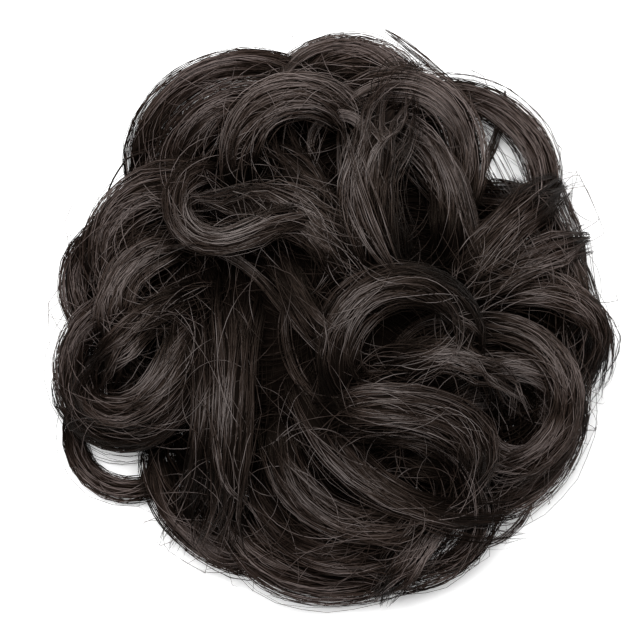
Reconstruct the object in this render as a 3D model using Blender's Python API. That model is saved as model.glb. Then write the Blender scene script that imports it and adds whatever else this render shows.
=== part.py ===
"""Curly top knot hairpiece: an elastic band, a hollow gathered base of hair, and curled locks laid over it.

Metres, +Z up. The bun rests on the XY plane with the elastic band's axis on Z, +Y is the top of the
front view, and that view looks straight down.
"""

import math
from collections import namedtuple

import bmesh
import bpy
import numpy as np
from mathutils.bvhtree import BVHTree

# The elastic band, a flat ring that the wearer's own hair goes through
BAND_BORE_RADIUS = 0.0210
BAND_WALL = 0.0024
BAND_HEIGHT = 0.0080
BAND_SIDES = 40

# The gathered base, a dome of hair sewn round the band
BASE_RADIUS = 0.0530
BASE_HEIGHT = 0.0360
BASE_ROOF = 0.0070
BASE_GATHERS = 27
GATHER_DEPTH = 0.0008
BASE_RINGS = 7
HOLLOW_RINGS = 5

# The locks. A table's lengths are shares of CURL_RADIUS, the radius that the outer curls reach
CURL_OVERHANG = 0.0220  # how far the outer curls reach past the base
CURL_RADIUS = BASE_RADIUS + CURL_OVERHANG
LOCK_FLATNESS = 0.72  # thickness over width
LOCK_THICKNESS = 0.0075  # at most
LOCK_TIP = 0.34  # width at the two ends over width in the middle
LOCK_SIDES = 10
LOCK_STEP = 0.0062  # from ring to ring
STEP_TURN = 24.0  # degrees from ring to ring, on a tight curl

# How the locks lie on the base and on one another
SAMPLE_STEP = 0.0010
GAP = 0.0004
DROOP = 22.0  # sag in metres, for each square metre of distance from what holds a lock up
EASE_SPAN = 0.010
SETTLE_REACH = 0.0030
SETTLE_STEPS = 7

# The ring of plain curls under the outer ones, round the foot of the base
UNDER_CURLS = 8
UNDER_PITCH = 40.0
UNDER_START = 84.0
UNDER_BULGE = 0.0130
UNDER_CURVE = 0.0190
UNDER_WIDTH = 0.0085

HAIR_COLOUR = (0.022, 0.016, 0.014, 1.0)
HAIR_ROUGHNESS = 0.42
BAND_COLOUR = (0.012, 0.011, 0.011, 1.0)
BAND_ROUGHNESS = 0.75
SHARP_EDGE = 40.0

# One row for each lock, lowest first. across, up and heading (degrees) say where the middle of the
# lock lies and which way it runs there, seen from above. The turns are the degrees that it bends,
# anticlockwise, over its first, middle and last third. length and width are shares of CURL_RADIUS.
Lock = namedtuple("Lock", "name across up heading length root_turn mid_turn tip_turn width")
LOCKS = [
    Lock("lower_left_loop", -0.86, -0.58, 320, 0.86, 55, 88, 55, 0.085),
    Lock("left_small_lobe", -0.91, 0.16, 260, 0.66, 52, 60, 60, 0.130),
    Lock("top_lobe", 0.07, 0.93, 0, 0.86, -64, -68, -64, 0.200),
    Lock("right_lobe", 0.92, -0.09, 270, 0.64, -48, -45, -48, 0.135),
    Lock("lower_right_lobe", 0.80, -0.50, 237, 0.82, -42, -42, -48, 0.150),
    Lock("bottom_left_lobe", -0.51, -0.77, 317, 0.66, 32, 34, 40, 0.120),
    Lock("upper_left_lobe", -0.50, 0.87, 210, 0.98, 45, 48, 50, 0.110),
    Lock("bottom_lobe", 0.00, -0.95, 358, 0.98, 48, 42, 48, 0.165),
    Lock("right_edge", 0.83, 0.24, 290, 0.60, -18, -12, -30, 0.130),
    Lock("upper_right_loop", 0.68, 0.70, 315, 0.82, -36, -44, -66, 0.120),
    Lock("upper_left_inner", -0.45, 0.70, 217, 0.64, 41, 41, 50, 0.190),
    Lock("left_fan", -0.75, 0.37, 232, 0.68, 53, 53, 53, 0.180),
    Lock("left_swirl_outer", -0.945, -0.17, 265, 0.90, 71, 71, 71, 0.107),
    Lock("left_arc", -0.72, 0.16, 232, 0.48, 35, 35, 35, 0.125),
    Lock("bottom_sweep_low", -0.02, -0.85, 345, 0.84, 48, 48, 48, 0.135),
    Lock("bottom_right_wisp", 0.47, -0.88, 38, 0.50, 25, 25, 25, 0.080),
    Lock("bottom_right_tail", 0.31, -0.83, 235, 0.40, -15, -5, 5, 0.120),
    Lock("lower_right_hook", 0.51, -0.65, 295, 0.64, -40, -70, -65, 0.095),
    Lock("right_cup", 0.67, -0.51, 355, 0.44, 60, 60, 60, 0.090),
    Lock("right_limb", 0.84, 0.08, 340, 0.52, -15, -45, -50, 0.105),
    Lock("right_ray_low", 0.68, 0.19, 28, 0.52, -8, -8, -8, 0.140),
    Lock("right_ray_high", 0.62, 0.32, 42, 0.54, -5, -5, -5, 0.150),
    Lock("right_arch", 0.41, 0.78, 315, 0.88, -68, -68, -35, 0.125),
    Lock("top_arch", -0.19, 0.78, 22, 0.70, -58, -58, -58, 0.150),
    Lock("swirl_root", -0.66, -0.01, 215, 0.38, 10, 15, 20, 0.120),
    Lock("swirl_middle", -0.61, -0.39, 212, 0.68, -20, -50, -60, 0.095),
    Lock("swirl_inner", -0.67, -0.31, 212, 0.74, -20, -60, -130, 0.120),
    Lock("thin_fall", -0.45, -0.35, 266, 0.64, -8, -10, -8, 0.085),
    Lock("wide_fall", -0.34, -0.28, 267, 0.79, 3, -3, -6, 0.165),
    Lock("bottom_sweep_mid", -0.03, -0.69, 325, 0.79, 40, 40, 40, 0.140),
    Lock("right_inner", 0.66, -0.17, 354, 0.61, -15, -30, -60, 0.095),
    Lock("right_big_curl", 0.81, -0.15, 305, 1.07, -38, -85, -75, 0.105),
    Lock("inner_fall", -0.03, 0.39, 305, 0.47, -5, 0, 5, 0.130),
    Lock("centre_fall", -0.11, 0.07, 300, 0.36, 0, 0, 0, 0.105),
    Lock("mid_fan", -0.10, 0.35, 332, 0.52, -23, -23, -23, 0.180),
    Lock("mid_curl", -0.44, 0.27, 345, 0.80, 125, 95, -30, 0.095),
    Lock("inner_right_limb", 0.39, 0.52, 293, 0.63, -45, -30, -12, 0.125),
    Lock("upper_fall", 0.13, 0.44, 273, 0.54, 23, 23, 23, 0.190),
    Lock("top_sweep", 0.11, -0.56, 320, 0.88, 24, 24, 24, 0.130),
    Lock("cross_band_low", 0.30, -0.41, 347, 0.54, -8, -20, -45, 0.100),
    Lock("cross_band", 0.33, -0.33, 346, 0.71, -12, -25, -88, 0.150),
    Lock("inner_fan", 0.39, -0.13, 0, 0.36, -10, -25, -30, 0.120),
    Lock("central_curl", 0.17, 0.10, 22, 0.86, -68, -68, -68, 0.140),
]


def clear_scene():
    for old in list(bpy.data.objects):
        bpy.data.objects.remove(old, do_unlink=True)


def material(name, colour, roughness):
    made = bpy.data.materials.new(name)
    made.use_nodes = True
    shader = made.node_tree.nodes["Principled BSDF"]
    shader.inputs["Base Color"].default_value = colour
    shader.inputs["Roughness"].default_value = roughness
    shader.inputs["Metallic"].default_value = 0.0
    return made


def surface(rings, closed_round=False):
    """Points and faces through equal rings of points. The two ends are capped, or joined when closed_round is true."""
    sides = len(rings[0])
    points = [point for ring in rings for point in ring]
    faces = []
    for row in range(len(rings) if closed_round else len(rings) - 1):
        near = row * sides
        far = (row + 1) % len(rings) * sides
        for k in range(sides):
            after = (k + 1) % sides
            faces.append((near + k, far + k, far + after, near + after))
    if not closed_round:
        faces.append(tuple(range(sides)))
        faces.append(tuple(range(len(points) - 1, len(points) - sides - 1, -1)))
    return points, faces


def add(name, shape, look):
    data = bpy.data.meshes.new(name)
    data.from_pydata(shape[0], [], shape[1])
    mesh = bmesh.new()
    mesh.from_mesh(data)
    bmesh.ops.recalc_face_normals(mesh, faces=mesh.faces)
    mesh.to_mesh(data)
    mesh.free()
    data.shade_smooth()
    data.set_sharp_from_angle(angle=math.radians(SHARP_EDGE))
    data.materials.append(look)
    made = bpy.data.objects.new(name, data)
    bpy.context.scene.collection.objects.link(made)
    return made


def circle(radius, height, sides, gathers=0.0):
    """A level ring of points. gathers is how far its troughs lie inside the radius."""
    ring = []
    for k in range(sides):
        angle = 2 * math.pi * k / sides
        reach = radius - gathers * (k % 2)
        ring.append((reach * math.cos(angle), reach * math.sin(angle), height))
    return ring


def band_shape():
    outer = BAND_BORE_RADIUS + BAND_WALL
    section = [(BAND_BORE_RADIUS, 0), (outer, 0), (outer, BAND_HEIGHT), (BAND_BORE_RADIUS, BAND_HEIGHT)]
    return surface([circle(radius, height, BAND_SIDES) for radius, height in section], closed_round=True)


def base_shape():
    """A dome with gathers down its outside and a round hollow, open below, that the band lines."""
    sides = 2 * BASE_GATHERS
    bore = BAND_BORE_RADIUS + BAND_WALL + GAP
    dome = []
    for k in range(BASE_RINGS + 1):
        lean = math.pi / 2 * k / (BASE_RINGS + 0.5)
        radius = BASE_RADIUS * math.cos(lean)
        dome.append(circle(radius, BASE_HEIGHT * math.sin(lean), sides, GATHER_DEPTH * math.cos(lean)))
    hollow = [circle(bore, 0, sides)]
    shoulder = BAND_HEIGHT + GAP
    for k in range(HOLLOW_RINGS + 1):
        lean = math.pi / 2 * k / (HOLLOW_RINGS + 0.5)
        height = shoulder + (BASE_HEIGHT - BASE_ROOF - shoulder) * math.sin(lean)
        hollow.append(circle(bore * math.cos(lean), height, sides))
    return surface(hollow[::-1] + dome)


class Path:
    """A lock seen from above, its half width and half thickness, and later the height of its middle line.

    Each is a value for every sample, and runs straight from one ring of the solid to the next.
    """

    def __init__(self, name, points, headings, width):
        self.name = name
        self.headings = headings
        samples = np.arange(len(points))
        length = SAMPLE_STEP * samples[-1]
        turn = np.degrees(np.abs(np.diff(headings)).sum())
        count = max(5, round(length / LOCK_STEP), round(turn / STEP_TURN))
        self.rings = np.round(np.linspace(0, samples[-1], count + 1)).astype(int)
        share = np.linspace(-1, 1, len(points))
        full = LOCK_TIP + (1 - LOCK_TIP) * np.sqrt(1 - np.abs(share) ** 3)
        self.half_width = self.straight(width / 2 * full)
        self.half_thickness = np.minimum(self.half_width * LOCK_FLATNESS, LOCK_THICKNESS / 2)
        self.points = np.stack([self.straight(points[:, 0]), self.straight(points[:, 1])], 1)
        self.heights = None

    def straight(self, values):
        return np.interp(np.arange(len(values)), self.rings, values[self.rings])


def lock_path(row):
    """Walks from the middle of the lock both ways, turning at a rate that runs smoothly through its three thirds."""
    length = row.length * CURL_RADIUS
    count = max(2, round(length / SAMPLE_STEP))
    share = (np.arange(count) + 0.5) / count
    rate = np.interp(share, [1 / 6, 1 / 2, 5 / 6], [row.root_turn, row.mid_turn, row.tip_turn])
    turned = np.concatenate([[0], np.cumsum(3 * np.radians(rate) / count)])
    headings = math.radians(row.heading) + turned - np.interp(0.5, np.linspace(0, 1, count + 1), turned)
    middle = (headings[1:] + headings[:-1]) / 2
    steps = np.stack([np.cos(middle), np.sin(middle)], 1) * length / count
    points = np.concatenate([[[0, 0]], np.cumsum(steps, 0)])
    place = np.array([row.across, row.up]) * CURL_RADIUS
    return Path(row.name, points - points[count // 2] + place, headings, row.width * CURL_RADIUS)


def under_path(number):
    """An arc that stands out UNDER_BULGE from the foot of the base, which its two ends meet."""
    centre = BASE_RADIUS + UNDER_BULGE - UNDER_WIDTH / 2 - UNDER_CURVE
    end_radius = BASE_RADIUS + UNDER_WIDTH / 2 * LOCK_TIP
    cosine = (end_radius**2 - centre**2 - UNDER_CURVE**2) / (2 * centre * UNDER_CURVE)
    half_sweep = math.acos(cosine)
    count = max(2, round(2 * half_sweep * UNDER_CURVE / SAMPLE_STEP))
    angles = np.linspace(-half_sweep, half_sweep, count + 1)
    around = math.radians(UNDER_START + UNDER_PITCH * number)
    hub = centre * np.array([math.cos(around), math.sin(around)])
    spokes = np.stack([np.cos(angles + around), np.sin(angles + around)], 1)
    headings = angles + around + math.pi / 2
    return Path(f"under_curl_{number + 1}", hub + UNDER_CURVE * spokes, headings, UNDER_WIDTH)


def centre_over_band(paths):
    """Moves the locks together, so that their extent from left to right and from bottom to top is centred."""
    sides = [path.half_width[:, None] * np.stack([-np.sin(path.headings), np.cos(path.headings)], 1) for path in paths]
    edges = np.concatenate([path.points + turn * side for path, side in zip(paths, sides) for turn in (-1, 1)])
    for path in paths:
        path.points -= (edges.min(0) + edges.max(0)) / 2


def needed_height(path, laid, clearance):
    """The lowest that each sample of a lock may lie: on the floor, on the base and on the locks below it."""
    need = path.half_thickness.copy()
    grown = BASE_RADIUS + path.half_width
    radius = np.hypot(*path.points.T)
    rise = (BASE_HEIGHT + path.half_thickness) * np.sqrt(np.clip(1 - (radius / grown) ** 2, 0, None))
    need = np.maximum(need, np.where(radius < grown, rise + clearance, 0))
    for other in laid:
        apart = np.linalg.norm(path.points[:, None] - other.points[None], axis=2)
        reach = path.half_width[:, None] + other.half_width[None] + GAP
        thick = path.half_thickness[:, None] + other.half_thickness[None]
        above = other.heights[None] + thick * np.sqrt(np.clip(1 - (apart / reach) ** 2, 0, None)) + clearance
        need = np.maximum(need, np.where(apart < reach, above, 0).max(1))
    return need


def eased(values):
    """The values averaged over EASE_SPAN, with the first and last carried on past the ends."""
    reach = round(EASE_SPAN / SAMPLE_STEP / 2)
    return np.convolve(np.pad(values, reach, "edge"), np.full(2 * reach + 1, 1 / (2 * reach + 1)), "valid")


def lock_shape(path, heights, grown=0.0):
    """The solid of a lock at these heights, made larger by grown on every side."""
    rings = []
    for k in path.rings:
        x, y = path.points[k]
        side = (-math.sin(path.headings[k]), math.cos(path.headings[k]))
        ring = []
        for corner in range(LOCK_SIDES):
            angle = 2 * math.pi * (corner + 0.5) / LOCK_SIDES
            out = (path.half_width[k] + grown) * math.cos(angle)
            rise = (path.half_thickness[k] + grown) * math.sin(angle)
            ring.append((x + side[0] * out, y + side[1] * out, heights[k] + rise))
        rings.append(ring)
    return surface(rings)


def draped(path, laid, clearance):
    """The heights of a lock that sags by DROOP times the square of the distance between what holds it up."""
    need = needed_height(path, laid, clearance)
    along = np.arange(len(need)) * SAMPLE_STEP
    hung = (need[None] - DROOP * (along[:, None] - along[None]) ** 2).max(1)
    heights = path.straight(eased(hung))
    return heights + (need - heights).max()


def lay(paths, base):
    """Lays each lock over those before it, as close as it goes with GAP left clear all round."""
    laid = []
    below = [BVHTree.FromPolygons(*base)]
    for path in paths:
        path.heights = draped(path, laid, GAP)
        blocked, free = GAP - SETTLE_REACH, GAP
        for _ in range(SETTLE_STEPS):
            middle = (blocked + free) / 2
            heights = draped(path, laid, middle)
            grown = BVHTree.FromPolygons(*lock_shape(path, heights, GAP))
            if any(grown.overlap(other) for other in below):
                blocked = middle
            else:
                free = middle
                path.heights = heights
        laid.append(path)
        below.append(BVHTree.FromPolygons(*lock_shape(path, path.heights)))


def main():
    clear_scene()
    hair = material("dark_hair", HAIR_COLOUR, HAIR_ROUGHNESS)
    elastic = material("elastic", BAND_COLOUR, BAND_ROUGHNESS)
    base = base_shape()
    add("elastic_band", band_shape(), elastic)
    add("hair_base", base, hair)
    curls = [lock_path(row) for row in LOCKS]
    centre_over_band(curls)
    paths = [under_path(number) for number in range(UNDER_CURLS)] + curls
    lay(paths, base)
    for path in paths:
        add(path.name, lock_shape(path, path.heights), hair)


main()
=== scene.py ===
import math

import bpy
import numpy as np
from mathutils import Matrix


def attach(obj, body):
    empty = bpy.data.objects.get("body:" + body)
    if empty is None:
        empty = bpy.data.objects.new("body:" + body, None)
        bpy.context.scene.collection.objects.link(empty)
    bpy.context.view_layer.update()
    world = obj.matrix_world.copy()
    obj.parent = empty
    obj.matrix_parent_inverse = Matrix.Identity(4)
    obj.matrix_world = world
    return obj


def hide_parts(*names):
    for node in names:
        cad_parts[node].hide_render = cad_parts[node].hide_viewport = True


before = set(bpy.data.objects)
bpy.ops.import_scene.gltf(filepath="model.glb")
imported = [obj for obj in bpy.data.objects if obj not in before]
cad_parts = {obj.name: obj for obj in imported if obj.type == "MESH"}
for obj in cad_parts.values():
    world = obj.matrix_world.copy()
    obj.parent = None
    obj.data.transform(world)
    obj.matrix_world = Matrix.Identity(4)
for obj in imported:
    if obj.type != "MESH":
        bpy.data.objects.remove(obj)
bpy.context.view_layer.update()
print("frame loaded:", len(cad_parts), "solids")

mm = 0.001


# One value of a shader, so that its maths reads as plain sums.
class Value:
    def __init__(self, finish, socket):
        self.finish = finish
        self.socket = socket

    def maths(self, operation, first, second):
        made = self.finish.node("ShaderNodeMath", {"operation": operation}, {0: first, 1: second})
        return Value(self.finish, made.outputs[0])

    def __add__(self, other):
        return self.maths("ADD", self, other)

    __radd__ = __add__

    def __sub__(self, other):
        return self.maths("SUBTRACT", self, other)

    def __rsub__(self, other):
        return self.maths("SUBTRACT", other, self)

    def __mul__(self, other):
        return self.maths("MULTIPLY", self, other)

    __rmul__ = __mul__


# A material with one Principled shader. Every other node comes from node().
class Finish:
    def __init__(self, name, constants):
        self.material = bpy.data.materials.new(name)
        self.material.use_nodes = True
        self.tree = self.material.node_tree
        self.shader = self.tree.nodes["Principled BSDF"]
        for socket, value in constants.items():
            self.shader.inputs[socket].default_value = value

    def node(self, kind, settings=None, inputs=None):
        made = self.tree.nodes.new(kind)
        for setting, value in (settings or {}).items():
            if setting == "stops":
                ramp = made.color_ramp.elements
                for place, (at, colour) in enumerate(value):
                    stop = ramp[place] if place < 2 else ramp.new(at)
                    stop.position = at
                    stop.color = colour
            else:
                setattr(made, setting, value)
        for socket, value in (inputs or {}).items():
            self.feed(made.inputs[socket], value)
        return made

    def feed(self, socket, value):
        if isinstance(value, Value):
            value = value.socket
        if isinstance(value, bpy.types.NodeSocket):
            self.tree.links.new(value, socket)
        else:
            socket.default_value = value

    def attribute(self, name, output="Fac"):
        return Value(self, self.node("ShaderNodeAttribute", {"attribute_name": name}).outputs[output])

    def times(self, vector, factors):
        made = self.node("ShaderNodeVectorMath", {"operation": "MULTIPLY"}, {0: vector, 1: factors})
        return made.outputs[0]

    def blend(self, share, low, high):
        made = self.node("ShaderNodeMix", {"data_type": "RGBA"}, {0: share, 6: low, 7: high})
        return made.outputs[2]


# How the hair is coloured, from its darkest colour up: painted shade between strands, painted shade of strands
# in the hollows, the body colour, and painted sheen on the lightest strands. shadeAt and bodyAt are how much
# light goes with the middle two colours.
hairLook = {
    "paintedGapShade": (0.0014, 0.0009, 0.0007, 1),
    "paintedShade": (0.0046, 0.0031, 0.0024, 1),
    "body": (0.0285, 0.0199, 0.0161, 1),
    "paintedSheen": (0.1400, 0.1200, 0.1135, 1),
    "shadeAt": 0.13,
    "bodyAt": 0.36,
    "streaks": (20.0, 2.6, 1.0),  # how fine the streaks are round a lock, along it and from lock to lock
    "streakGain": 4.7,  # light is tone * (streak * gain - loss)
    "streakLoss": 1.32,
    "bumpStrength": 0.35,
    "bumpDepth": 0.2 * mm,
    "roughness": 0.40,
    "coreRoughness": 0.95,
    "specularTint": (1.0, 0.76, 0.60, 1),
    "rimTint": (1.06, 0.985, 0.975),
    "rimReach": (45 * mm, 75 * mm),  # where the rim's tint begins and is full, out from the upright axis
}


# The hair's finish: a point's tone and painted light times a streaky noise say how light it is; a ramp gives its
# colour.
def hairFinish(name, specular):
    look = hairLook
    finish = Finish(name, {"Specular IOR Level": specular, "Specular Tint": look["specularTint"], "IOR": 1.5})
    # this carries painted shade and painted sheen as well as each strand's own tone
    toneAndPaintedLight = finish.attribute("toneAndPaintedLight")
    # streaks run along the hair: the noise is drawn out along the second value of lie
    lie = finish.times(finish.attribute("lie", "Vector"), look["streaks"])
    settings = {"Vector": lie, "Scale": 1.0, "Detail": 3.0, "Roughness": 0.6}
    noise = finish.node("ShaderNodeTexNoise", {"noise_dimensions": "3D"}, settings)
    streak = Value(finish, noise.outputs[0])
    light = toneAndPaintedLight * (streak * look["streakGain"] - look["streakLoss"])
    # the ramp runs from painted shade between strands, through painted shade in the hollows and the body, to
    # painted sheen
    stops = [(0.0, look["paintedGapShade"]), (1.0, look["paintedSheen"])]
    stops += [(look["shadeAt"], look["paintedShade"]), (look["bodyAt"], look["body"])]
    colour = finish.node("ShaderNodeValToRGB", {"stops": stops}, {0: light}).outputs[0]
    # redder towards the rim
    level = finish.times(finish.node("ShaderNodeTexCoord").outputs["Object"], (1.0, 1.0, 0.0))
    out = finish.node("ShaderNodeVectorMath", {"operation": "LENGTH"}, {0: level}).outputs["Value"]
    near, far = look["rimReach"]
    rim = finish.node("ShaderNodeMapRange", {}, {0: out, 1: near, 2: far}).outputs[0]
    tinted = finish.times(colour, look["rimTint"])
    finish.feed(finish.shader.inputs["Base Color"], finish.blend(rim, colour, tinted))
    roughness = look["roughness"] + (look["coreRoughness"] - look["roughness"]) * finish.attribute("matt")
    finish.feed(finish.shader.inputs["Roughness"], roughness)
    relief = {"Strength": look["bumpStrength"], "Distance": look["bumpDepth"], "Height": streak}
    finish.feed(finish.shader.inputs["Normal"], finish.node("ShaderNodeBump", {}, relief).outputs[0])
    return finish.material


# Many tubes at once, each a ring of points carried along its own line: the ring's points stand round the
# middle at equal angles, out by the radius along the two directions across the line. Their ends are capped.
def tubes(middle, across, above, radius, sides):
    count, stations = middle.shape[:2]
    turn = 2 * np.pi * np.arange(sides) / sides
    spoke = across[..., None, :] * np.cos(turn)[:, None] + above[..., None, :] * np.sin(turn)[:, None]
    points = middle[..., None, :] + radius[..., None, None] * spoke
    return points, tubeFaces(count, stations, sides)


# The faces of such tubes, as corner numbers, with each corner's place along and around for the picture map.
def tubeFaces(count, stations, sides):
    index = np.arange(count * stations * sides).reshape(count, stations, sides)
    nextSide = np.roll(index, -1, 2)
    quads = np.stack([index[:, :-1], nextSide[:, :-1], nextSide[:, 1:], index[:, 1:]], -1).reshape(-1, 4)
    along = np.arange(stations) / (stations - 1)
    around = np.arange(sides + 1) / sides
    tube = np.arange(count) / count
    a0, a1 = along[:-1, None], along[1:, None]
    s0, s1 = around[:-1], around[1:]
    mapAlong = np.stack(np.broadcast_arrays(a0, a0, a1, a1 + 0 * s0), -1)
    mapAround = np.stack(np.broadcast_arrays(s0 + 0 * a0, s1, s1, s0), -1)
    mapAlong = np.broadcast_to(mapAlong, (count,) + mapAlong.shape)
    maps = np.stack([mapAlong, tube[:, None, None, None] + mapAround[None] * 0.9 / count], -1)
    caps = np.concatenate([index[:, 0, ::-1], index[:, -1]])
    capMaps = np.zeros(caps.shape + (2,))
    capMaps[:, :, 0] = np.repeat([0.0, 1.0], count)[:, None]
    capMaps[:, :, 1] = np.tile(tube, 2)[:, None] + 0.9 / count * np.arange(sides) / sides
    return quads, maps.reshape(-1, 4, 2), caps, capMaps


# A piece made of several lots of tubes. Each lot is its points and faces, with the tone, painted light and lie
# of each point, and takes its own share of the height of the picture map.
def hairPiece(name, lots, material):
    pointRows, faceRows, first = [], [], 0
    for lot in lots:
        points = lot["points"].reshape(-1, 3)
        matt = np.full(len(points), lot.get("matt", 0.0))
        pointRows.append((points, lot["toneAndPaintedLight"].reshape(-1), lot["lie"].reshape(-1, 3), matt))
        quads, quadMaps, caps, capMaps = lot["faces"]
        low, high = lot["map"]
        for faces, faceMaps in ((quads, quadMaps), (caps, capMaps)):
            placed = faceMaps.reshape(-1, 2) * (1, high - low) + (0, low)
            faceRows.append((faces.reshape(-1) + first, np.full(len(faces), faces.shape[1]), placed))
        first += len(points)
    points, tonesAndPaintedLight, lies, matts = [np.concatenate(values) for values in zip(*pointRows)]
    corners, totals, maps = [np.concatenate(values) for values in zip(*faceRows)]
    points[:, 2] = np.maximum(points[:, 2], floorClear)
    mesh = bpy.data.meshes.new(name)
    mesh.vertices.add(len(points))
    mesh.vertices.foreach_set("co", points.astype(np.float32).ravel())
    mesh.loops.add(len(corners))
    mesh.loops.foreach_set("vertex_index", corners.astype(np.int32))
    mesh.polygons.add(len(totals))
    mesh.polygons.foreach_set("loop_start", (np.cumsum(totals) - totals).astype(np.int32))
    mesh.polygons.foreach_set("use_smooth", np.ones(len(totals), bool))
    mesh.update(calc_edges=True)
    for attribute, values in (("toneAndPaintedLight", tonesAndPaintedLight), ("matt", matts)):
        mesh.attributes.new(attribute, "FLOAT", "POINT").data.foreach_set("value", values.astype(np.float32))
    lie = mesh.attributes.new("lie", "FLOAT_VECTOR", "POINT")
    lie.data.foreach_set("vector", lies.astype(np.float32).ravel())
    mesh.uv_layers.new(name="OFBake").data.foreach_set("uv", maps.astype(np.float32).ravel())
    mesh.validate()
    mesh.materials.append(material)
    made = bpy.data.objects.new(name, mesh)
    bpy.context.scene.collection.objects.link(made)
    made["triangles"] = int((totals - 2).sum())
    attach(made, "root")
    return made


floorClear = 0.15 * mm  # how far the lowest hair stands off the floor
curlUnit = 75.0 * mm  # the radius that the outer curls reach

# The curled locks as the solids lie, lowest first: across, up, heading, length, the turns over the first,
# middle and last third, and width. Lengths are shares of curlUnit, and angles are degrees.
locks = {
    "lower_left_loop": (-0.86, -0.58, 320, 0.86, 55, 88, 55, 0.085),
    "left_small_lobe": (-0.91, 0.16, 260, 0.66, 52, 60, 60, 0.130),
    "top_lobe": (0.07, 0.93, 0, 0.86, -64, -68, -64, 0.200),
    "right_lobe": (0.92, -0.09, 270, 0.64, -48, -45, -48, 0.135),
    "lower_right_lobe": (0.80, -0.50, 237, 0.82, -42, -42, -48, 0.150),
    "bottom_left_lobe": (-0.51, -0.77, 317, 0.66, 32, 34, 40, 0.120),
    "upper_left_lobe": (-0.50, 0.87, 210, 0.98, 45, 48, 50, 0.110),
    "bottom_lobe": (0.00, -0.95, 358, 0.98, 48, 42, 48, 0.165),
    "right_edge": (0.83, 0.24, 290, 0.60, -18, -12, -30, 0.130),
    "upper_right_loop": (0.68, 0.70, 315, 0.82, -36, -44, -66, 0.120),
    "upper_left_inner": (-0.45, 0.70, 217, 0.64, 41, 41, 50, 0.190),
    "left_fan": (-0.75, 0.37, 232, 0.68, 53, 53, 53, 0.180),
    "left_swirl_outer": (-0.945, -0.17, 265, 0.90, 71, 71, 71, 0.107),
    "left_arc": (-0.72, 0.16, 232, 0.48, 35, 35, 35, 0.125),
    "bottom_sweep_low": (-0.02, -0.85, 345, 0.84, 48, 48, 48, 0.135),
    "bottom_right_wisp": (0.47, -0.88, 38, 0.50, 25, 25, 25, 0.080),
    "bottom_right_tail": (0.31, -0.83, 235, 0.40, -15, -5, 5, 0.120),
    "lower_right_hook": (0.51, -0.65, 295, 0.64, -40, -70, -65, 0.095),
    "right_cup": (0.67, -0.51, 355, 0.44, 60, 60, 60, 0.090),
    "right_limb": (0.84, 0.08, 340, 0.52, -15, -45, -50, 0.105),
    "right_ray_low": (0.68, 0.19, 28, 0.52, -8, -8, -8, 0.140),
    "right_ray_high": (0.62, 0.32, 42, 0.54, -5, -5, -5, 0.150),
    "right_arch": (0.41, 0.78, 315, 0.88, -68, -68, -35, 0.125),
    "top_arch": (-0.19, 0.78, 22, 0.70, -58, -58, -58, 0.150),
    "swirl_root": (-0.66, -0.01, 215, 0.38, 10, 15, 20, 0.120),
    "swirl_middle": (-0.61, -0.39, 212, 0.68, -20, -50, -60, 0.095),
    "swirl_inner": (-0.67, -0.31, 212, 0.74, -20, -60, -130, 0.120),
    "thin_fall": (-0.45, -0.35, 266, 0.64, -8, -10, -8, 0.085),
    "wide_fall": (-0.34, -0.28, 267, 0.79, 3, -3, -6, 0.165),
    "bottom_sweep_mid": (-0.03, -0.69, 325, 0.79, 40, 40, 40, 0.140),
    "right_inner": (0.66, -0.17, 354, 0.61, -15, -30, -60, 0.095),
    "right_big_curl": (0.81, -0.15, 305, 1.07, -38, -85, -75, 0.105),
    "inner_fall": (-0.03, 0.39, 305, 0.47, -5, 0, 5, 0.130),
    "centre_fall": (-0.11, 0.07, 300, 0.36, 0, 0, 0, 0.105),
    "mid_fan": (-0.10, 0.35, 332, 0.52, -23, -23, -23, 0.180),
    "mid_curl": (-0.44, 0.27, 345, 0.80, 125, 95, -30, 0.095),
    "inner_right_limb": (0.39, 0.52, 293, 0.63, -45, -30, -12, 0.125),
    "upper_fall": (0.13, 0.44, 273, 0.54, 23, 23, 23, 0.190),
    "top_sweep": (0.11, -0.56, 320, 0.88, 24, 24, 24, 0.130),
    "cross_band_low": (0.30, -0.41, 347, 0.54, -8, -20, -45, 0.100),
    "cross_band": (0.33, -0.33, 346, 0.71, -12, -25, -88, 0.150),
    "inner_fan": (0.39, -0.13, 0, 0.36, -10, -25, -30, 0.120),
    "central_curl": (0.17, 0.10, 22, 0.86, -68, -68, -68, 0.140),
}

# How a lock's strands lie. Lengths are metres, and shares run from 0 at the root to 1 at the tip.
lockStrands = {
    "perWidth": 14.5e3,  # strands for each metre of width
    "most": 156,
    "radius": 0.113 * mm,
    "stations": (11, 17),  # fewest and most points along a strand
    "tipWidth": 0.34,  # width of the solids at the ends over width in the middle
    "looseTipWidth": 0.72,  # and of the strands
    "flatness": 0.72,
    "mostThickness": 7.5 * mm,
    "run": 13.0 * mm,  # how far strands run on past the ends of the solid
    "sink": 9.5 * mm,  # how far they dive there
    "sinkFrom": 0.20,  # share of the length over which the dive begins
    "shortTip": 5.0 * mm,  # a tip that runs on less than this also narrows
    "shortTipLoss": 0.55,
    "frizz": 0.30 * mm,
    "relief": 0.12,  # how far the partings push strands in and out
    "clumps": 7,
    "clumpStray": 0.16,  # how far a clump wanders, as a share of the lock's width
    # the body is painted dark, as the shade between strands
    "coreReach": 0.76,  # how far the dark body reaches out in the lock's oval
    "coreSides": 24,
    "coreStations": 32,
    # painted light along a lock: painted shade at its ends, where it goes under others, and painted sheen over
    # its crown
    "paintedEndLight": 0.24,  # the light at a lock's ends
    "paintedCrownSheen": 0.88,  # and how much its crown adds
    "loose": 6,  # hairs that stand off the lock
    "skirt": 24,  # hairs that lie beside the lock
}

# Locks that are only a wisp: the share of the usual strands that they have, round no core
looseLocks = {"bottom_right_wisp": 0.55, "bottom_right_tail": 0.7}

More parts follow.
